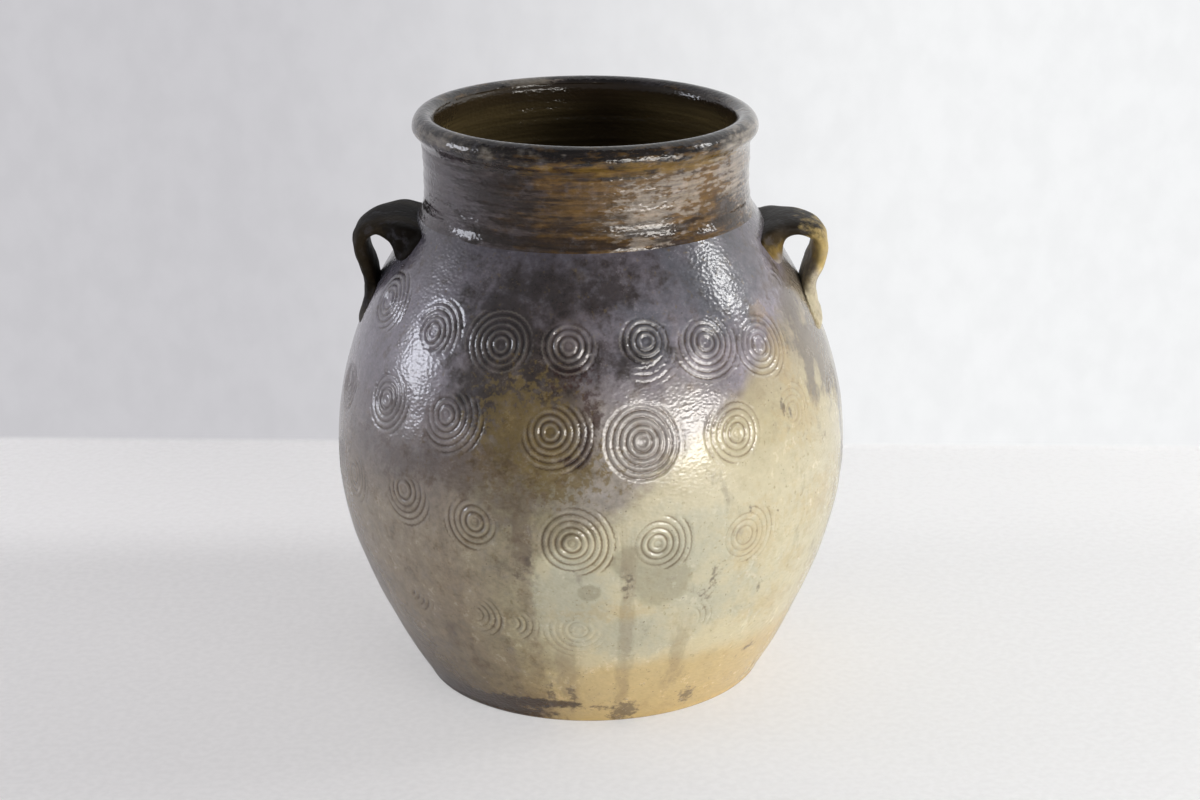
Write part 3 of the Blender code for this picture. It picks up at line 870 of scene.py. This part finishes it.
neckRamp = [(248, "453b36"), (256, "4b3f35"), (270, "503f30"), (284, "42342a"), (289, "2f2621"), (294, "201b18"),
            (302, "231d19")]
neckLayers = {
    "neckViolet": ("5f585b", 0.5, 14, 0.6, 0.9),
    "neckOchre": ("6b5026", 0.45, 2.8, 1.7, 0.78, (0.2, 0.2, 1)),
    # pale glaze and painted highlights on the neck
    "neckPaleGlazeAndHighlight": ("a0968a", 0.35, 2.4, 1.9, 0.65, (0.35, 0.35, 1)),
    "neckDark": ("2a221d", 0.4, 3, 1.4, 0.8, (0.2, 0.2, 1)),
    "rimGold": ("7a5f28", 0.4, 3, 1.2, 0.75, (0.3, 0.3, 1)),
    # pale glaze and painted sheen on the rim
    "rimPaleAndSheen": ("8f877b", 0.4, 5, 1.0, 0.75, (0.5, 0.5, 1)),
}
# the neck's inside: dark, plain, and the pale of the painted light through the mouth
neckGlaze = makeSaltGlaze(
    "neck", neckRamp, neckLayers, ("261e17", "392e21", "8d7b50"), "neckViolet",
    streak=0.36, ridges=0.1, gloss=0.6, coat=0.46, shine=0.25)
neckAndRim = makeNeck(neckGlaze)
print("neck and rim:", len(neckAndRim.data.polygons), "faces")


# The two strap handles
strap = {
    "width": 38.0, "thickness": 8.6, "rootWidth": 60.0, "rootSmear": 12.0,
    "sectionPower": 2.4, "rootPower": 4.0, "sides": 48, "spanSteps": 9,
    "weldGap": 0.01,
    "fillet": 4.0, "filletFrom": (4, 12),  # mm of clay wiped on to the wall round each end
    "lumps": [(1, 21, 0.3, 0.22), (2, 13, 1.3, 0.14), (3, -9, 2.2, 0.09)],
    "lumpTurn": 9, "lumpSink": 0.2, "lumpFrom": (1, 4),
}
# each row of shares: drop from the springing and reach, as shares of fall and reach, root share, tail share
leftHandle = {
    "side": -1, "drop": 4.1, "reach": 22.2, "fall": 47.9, "tailWidth": 21.0,
    "wornEdge": (17, 5), "paleEnd": (194, 14),
    "shares": [(0.16, -0.8, 1, 0), (0.07, -0.08, 1, 0), (0.03, 0.31, 0.92, 0), (0.025, 0.6, 0.42, 0),
               (0.048, 0.87, 0.08, 0), (0.134, 1.01, 0, 0.04), (0.248, 0.92, 0, 0.15), (0.374, 0.7, 0, 0.32),
               (0.52, 0.41, 0, 0.55), (0.676, 0.14, 0, 0.82), (0.854, -0.03, 0, 1), (1.0, -0.12, 0, 1),
               (1.146, -0.18, 0, 1), (1.25, -0.5, 0, 1)],
}
rightHandle = {
    "side": 1, "drop": 9.2, "reach": 22.1, "fall": 44.5, "tailWidth": 36.0,
    # the strap's middle stands this far from the wall, as (height, gap)
    "middle": [(190, 0), (200, 0), (206, 1), (215, 4), (225, 10), (232, 16), (238, 20), (243, 20)],
    "soft": 5, "goldOuter": (238, 14), "creamTail": (214, 22), "shadyInner": (234, 6), "ashRoot": (13, 229, 4),
    "shares": [(0.25, -0.95, 1, 0), (0.12, -0.29, 1, 0), (0.05, 0.09, 0.72, 0), (0.022, 0.414, 0.2, 0),
               (0.03, 0.745, 0.03, 0), (0.108, 1.0, 0, 0.04), (0.23, 0.955, 0, 0.15), (0.366, 0.775, 0, 0.32),
               (0.524, 0.48, 0, 0.55), (0.68, 0.195, 0, 0.82), (0.85, 0.014, 0, 1), (1.0, -0.086, 0, 1),
               (1.157, -0.13, 0, 1), (1.27, -0.48, 0, 1)],
}


def betweenRows(rows, steps):
    # a smooth curve through the rows
    rows = np.asarray(rows, float)
    padded = np.vstack([2 * rows[0] - rows[1], rows, 2 * rows[-1] - rows[-2]])
    curve = []
    for start in range(1, len(padded) - 2):
        before, here, after, beyond = padded[start - 1:start + 3]
        for t in np.arange(steps) / steps:
            curve.append(0.5 * (2 * here + (after - before) * t
                                + (2 * before - 5 * here + 4 * after - beyond) * t ** 2
                                + (3 * here - before - 3 * after + beyond) * t ** 3))
    curve.append(padded[-2])
    return np.array(curve)


def strapStations(form):
    # each station: distance from the jar's axis, height, width, root share, tail share
    stations = []
    for fall, reach, root, tail in form["shares"]:
        height = wall["shoulderHeight"] - form["drop"] - form["fall"] * fall
        out = float(wallRadius(height)) + form["reach"] * reach
        width = (strap["width"] + (strap["rootWidth"] - strap["width"]) * root
                 + (form["tailWidth"] - strap["width"]) * tail)
        stations.append((out, height, width, max(root, 0), max(tail, 0)))
    return betweenRows(stations, strap["spanSteps"])


def strapSections(form, stations):
    # the points of the strap, one row round each station
    points = np.zeros((len(stations), strap["sides"] + 1, 3))
    along = np.gradient(stations[:, :2], axis=0)
    along /= np.linalg.norm(along, axis=1)[:, None]
    turn = np.linspace(0, math.tau, strap["sides"] + 1)
    for row, (out, height, width, root, tail) in enumerate(stations):
        run, rise = along[row]
        root = np.clip(root, 0, 1)
        power = strap["sectionPower"] + (strap["rootPower"] - strap["sectionPower"]) * root
        lift = np.sign(np.sin(turn)) * np.abs(np.sin(turn)) ** (2 / power)
        half = strap["thickness"] / 2
        lift = lift * np.where(lift < 0, half + strap["rootSmear"] * root, half)
        points[row, :, 0] = form["side"] * (out - rise * lift)
        points[row, :, 1] = np.sign(np.cos(turn)) * np.abs(np.cos(turn)) ** (2 / power) * width / 2
        points[row, :, 2] = height + run * lift
    return points.reshape(-1, 3)


def makeHandle(name, form, material, node, fields):
    stations = strapStations(form)
    clearSelection()
    bpy.ops.mesh.primitive_grid_add(x_subdivisions=strap["sides"], y_subdivisions=len(stations) - 1)
    piece = startPiece(name)
    placePoints(piece, strapSections(form, stations))  # the sheet is wrapped into the strap
    goTo("EDIT")
    selectMesh()
    bpy.ops.mesh.remove_doubles(threshold=strap["weldGap"] * mm)
    selectMesh("DESELECT")
    bpy.ops.mesh.select_mode(type="VERT")
    bpy.ops.mesh.select_non_manifold(extend=False)
    bpy.ops.mesh.fill_holes(sides=0)
    selectMesh()
    bpy.ops.mesh.fill_holes(sides=0)
    bpy.ops.mesh.normals_make_consistent(inside=False)
    goTo("OBJECT")
    points = readPoints(piece)
    gap = radiusOf(points) - wallRadius(points[:, 2])
    # clay is wiped outwards where the strap nears the wall
    close = np.clip(1 - gap / strap["fillet"], 0, 1)
    push = strap["fillet"] * (1 - np.sqrt(1 - close ** 2))
    points[:, 1] += np.sign(points[:, 1]) * push * smooth(*strap["filletFrom"], np.abs(points[:, 1]))
    lumps = ripple(points[:, 1] * strap["lumpTurn"], points[:, 2], strap["lumps"]) - strap["lumpSink"]
    points[:, 0] += form["side"] * lumps * smooth(*strap["lumpFrom"], gap)
    placePoints(piece, points)
    for field, values in fields(form, points, gap).items():
        keepField(piece, field, values)
    finishPiece(piece, material, node)
    return piece


def under(height, limit):  # above 0 below a height, as (height, mm over which it rises by 1)
    return (limit[0] - height) / limit[1]


def leftFields(form, points, gap):
    middle, width = form["wornEdge"]
    return {"wornEdge": 1 - np.abs(np.abs(points[:, 1]) - middle) / width,
            "paleEnd": under(points[:, 2], form["paleEnd"])}


def rightFields(form, points, gap):
    # the top stayed in the flame's shade, the outer face took gold and the tail runs out into the cream
    height, soft = points[:, 2], form["soft"]
    outward = gap - np.interp(height, *zip(*form["middle"]))
    rootGap, *rootTop = form["ashRoot"]
    return {"goldOuter": np.minimum(outward / soft, under(height, form["goldOuter"])),
            "creamTail": under(height, form["creamTail"]),
            "shadyInner": np.minimum(-outward / soft, under(height, form["shadyInner"])),
            "ashRoot": np.minimum((rootGap - gap) / soft, under(height, rootTop))}


leftGlaze = makeSaltGlaze(
    "left handle", [(185, "4a4239"), (200, "231e18"), (235, "1f1a15"), (250, "1f1c19")],
    {"wornEdge": ("4a4132", 0.6, 4, 0.9, 0.4), "paleEnd": ("7d7770", 0.5, 6, 0.6, 0.7)},
    specks=0.3, gloss=2.0, coat=0.0, shine=0.03)
rightGlaze = makeSaltGlaze(
    "right handle",
    [(185, "9a8f78"), (204, "93804e"), (218, "776234"), (230, "44371f"), (240, "2d2822"), (250, "2a2724")],
    {"goldOuter": ("c2ab72", 0.5, 5, 1.1, 0.85), "shadyInner": ("86703f", 0.5, 5, 0.6, 0.7),
     "ashRoot": ("8b8583", 0.5, 5, 0.5, 0.85), "creamTail": ("c9bfa2", 0.5, 6, 0.9, 0.9)},
    gloss=1.8, coat=0.02, shine=0.06)
leftStrap = makeHandle("leftStrap", leftHandle, leftGlaze, "handle_left", leftFields)
rightStrap = makeHandle("rightStrap", rightHandle, rightGlaze, "handle_right", rightFields)
print("handles:", len(leftStrap.data.polygons), "and", len(rightStrap.data.polygons), "faces")


# Table, backdrop, light and camera, in metres
room = {
    "wallDistance": 0.33, "wallSlant": -0.07, "cove": 0.006, "halfWidth": 4.0, "near": -3.0, "tall": 3.0,
    # colours at the left and the right; the wall's darker left is painted shade
    "tableLeft": "f5f3f3", "tableRight": "fbfbfb", "wallLeft": "cac9cd", "wallRight": "f4f5f6",
    "leftToRight": (-0.25, 0.25),
    # noise as in the glaze, then where it starts and ends and the tones it makes
    "tableGrain": (4, 4), "tableTones": (0.3, 0.7, 0.97, 1.02),
    "wallGrain": (22, 5, 0.5, (1.2, 1, 0.9)), "wallTones": (0.3, 0.7, 0.98, 1.02),
    "roughness": 0.7,
    # painted light: the table shines by itself a little, more next to the wall and most of all at the left there
    "frontShine": (0.88, 1.015), "backShine": (1.138, 1.07), "backFrom": (0.12, 0.22), "shineShare": 0.5,
    "wallFrom": (0.0005, 0.004),  # the height where the table's paint turns to the wall's
}


def makeSweep(material):
    # the table runs back to the wall and up it through a small cove
    clearSelection()
    bpy.ops.mesh.primitive_plane_add(size=1)
    sweep = startPiece("tableAndBackdrop")
    goTo("EDIT")
    selectMesh("DESELECT")
    goTo("OBJECT")
    side, near, slant = room["halfWidth"], room["near"], room["halfWidth"] * room["wallSlant"]
    foot = room["wallDistance"] - room["cove"]
    corners = [(-side, near, 0), (side, near, 0), (-side, foot - slant, 0), (side, foot + slant, 0)]
    for vertex, place in zip(sweep.data.vertices, corners):
        vertex.co = place
        vertex.select = vertex.index > 1
    for edge in sweep.data.edges:
        edge.select = all(index > 1 for index in edge.vertices)
    goTo("EDIT")
    bpy.ops.mesh.select_mode(type="EDGE")
    steps, last = [], (0.0, 0.0)
    for turn in (15, 30, 45, 60, 75, 90):
        angle = math.radians(turn)
        place = (room["cove"] * math.sin(angle), room["cove"] * (1 - math.cos(angle)))
        steps.append((0, place[0] - last[0], place[1] - last[1]))
        last = place
    for step in (*steps, (0, 0, room["tall"])):
        bpy.ops.mesh.extrude_region_move(TRANSFORM_OT_translate={"value": step})
    selectMesh()
    bpy.ops.mesh.normals_make_consistent(inside=False)
    goTo("OBJECT")
    if sweep.data.polygons[0].normal.z < 0:
        sweep.data.flip_normals()
    pickOnly(sweep)
    bpy.ops.object.shade_smooth()
    sweep.data.materials.append(material)


def makeFloorBehind(material):
    clearSelection()
    bpy.ops.mesh.primitive_plane_add(size=1)
    behind = startPiece("floorBehind")
    slant = room["halfWidth"] * room["wallSlant"]
    for vertex in behind.data.vertices:
        reach = room["wallDistance"] + slant * 2 * vertex.co.x if vertex.co.y < 0 else -room["near"]
        vertex.co = (vertex.co.x * 2 * room["halfWidth"], reach, 0)
    behind.data.materials.append(material)


def makeBoardPaint():
    material = bpy.data.materials.new("Matt painted board, table and wall")
    tree = startTree(material)
    place = addNode(tree, "TexCoord").outputs["Object"]
    x, y, z = addNode(tree, "SeparateXYZ", {0: place}).outputs
    path = addNode(tree, "LightPath").outputs
    across = easedShare(tree, x, *room["leftToRight"])
    paints = []
    # the paint darkens to the left: painted shade on the wall
    for part in ("table", "wall"):
        paint = blendColours(tree, across, room[part + "Left"], room[part + "Right"])
        paints.append(shade(tree, 1.0, paint, cloud(tree, place, *room[part + "Grain"]), *room[part + "Tones"]))
    matt = addNode(tree, "BsdfPrincipled", {"Base Color": paints[0], "Roughness": room["roughness"]})
    # painted light: the table's own shine, seen only by the camera
    nearWall = easedShare(tree, y, *room["backFrom"])
    farShine = product(tree, spanOf(tree, across, *room["backShine"]), nearWall)
    nearShine = product(tree, spanOf(tree, across, *room["frontShine"]), calculate(tree, "SUBTRACT", 1.0, nearWall))
    shine = calculate(tree, "ADD", farShine, nearShine)
    pale = addNode(tree, "Emission", {"Color": paints[0], "Strength": shine})
    table = mixShaders(tree, product(tree, path["Is Camera Ray"], room["shineShare"]), matt, pale)
    # the wall shows its colour, darker to the left with painted shade, to the camera and in the gloss, the table
    # keeps the jar's shadow
    shown = addNode(tree, "Emission", {"Color": paints[1], "Strength": 1.0})
    seen = calculate(tree, "MAXIMUM", path["Is Camera Ray"], path["Is Glossy Ray"])
    finish = mixShaders(tree, product(tree, seen, easedShare(tree, z, *room["wallFrom"])), table, shown)
    # from behind the wall it's left out of the picture, so that the jar's back can be seen
    back = addNode(tree, "NewGeometry").outputs["Backfacing"]
    clear = addNode(tree, "BsdfTransparent")
    finish = mixShaders(tree, product(tree, path["Is Camera Ray"], back), finish, clear)
    addNode(tree, "OutputMaterial", {"Surface": finish.outputs[0]})
    return material


boardPaint = makeBoardPaint()
makeSweep(boardPaint)
makeFloorBehind(boardPaint)

lampAim = (0, 0, 0.16)
lamps = {
    # name: place, size across and up, watts, colour
    "windowRight": ((1.07, -1.05, 0.32), (0.66, 0.38), 10.3, "fffbf5"),
    "windowSide": ((0.6, -1.38, 0.36), (0.36, 0.28), 3.9, "fffbf5"),
    "windowHigh": ((1.37, 0.0, 0.98), (0.2, 0.36), 3.4, "ffffff"),
    "windowLeft": ((-1.5, 0.02, 0.53), (0.46, 0.4), 4.7, "f1f4ff"),
    "skylight": ((0.1, 0.85, 1.9), (1.8, 1.0), 11, "ffffff"),
}
for name, (place, size, watts, colour) in lamps.items():
    light = bpy.data.lights.new(name, "AREA")
    light.shape = "RECTANGLE"
    light.size, light.size_y = size
    light.energy = watts
    light.color = toLinear(colour)[:3]
    holder = addObject(name, light)
    holder.location = place
    holder.rotation_euler = (Vector(lampAim) - Vector(place)).to_track_quat("-Z", "Y").to_euler()
    holder.visible_camera = False
    holder.visible_glossy = name != "skylight"  # the room's ceiling gives light but no mirror image

# the room is pale down low, and dim overhead and towards the front
air = {"pale": "f2f4f8", "dim": "9a9ca4", "overhead": (0.25, 0.8), "front": (0.1, -0.8), "strength": 0.54,
       "shown": "eeeff1"}
sky = bpy.context.scene.world or bpy.data.worlds.new("room light")
bpy.context.scene.world = sky
tree = startTree(sky)
place = addNode(tree, "TexCoord").outputs["Generated"]
x, y, z = addNode(tree, "SeparateXYZ", {0: place}).outputs
dimness = calculate(tree, "MAXIMUM", easedShare(tree, z, *air["overhead"]), easedShare(tree, y, *air["front"]))
hue = blendColours(tree, dimness, air["pale"], air["dim"])
lit = addNode(tree, "Background", {"Color": hue, "Strength": air["strength"]})
shown = addNode(tree, "Background", {"Color": air["shown"], "Strength": 1.0})
seen = mixShaders(tree, addNode(tree, "LightPath").outputs["Is Camera Ray"], lit, shown)
addNode(tree, "OutputWorld", {"Surface": seen.outputs[0]})

view = {"place": (0, -1.32906, 0.59791), "down": 18.867, "right": 0.2234, "roll": -0.864, "lens": 80.01,
        "sensor": 36}
lens = bpy.data.cameras.new("photographView")
lens.lens, lens.sensor_width = view["lens"], view["sensor"]
camera = addObject("photographView", lens)
camera.matrix_world = (Matrix.Translation(view["place"]) @ Matrix.Rotation(math.radians(-view["right"]), 4, "Z")
                       @ Matrix.Rotation(math.radians(90 - view["down"]), 4, "X")
                       @ Matrix.Rotation(math.radians(view["roll"]), 4, "Z"))
bpy.context.scene.camera = camera
bpy.context.scene.view_settings.view_transform = "Standard"
print("room, lamps and camera done")
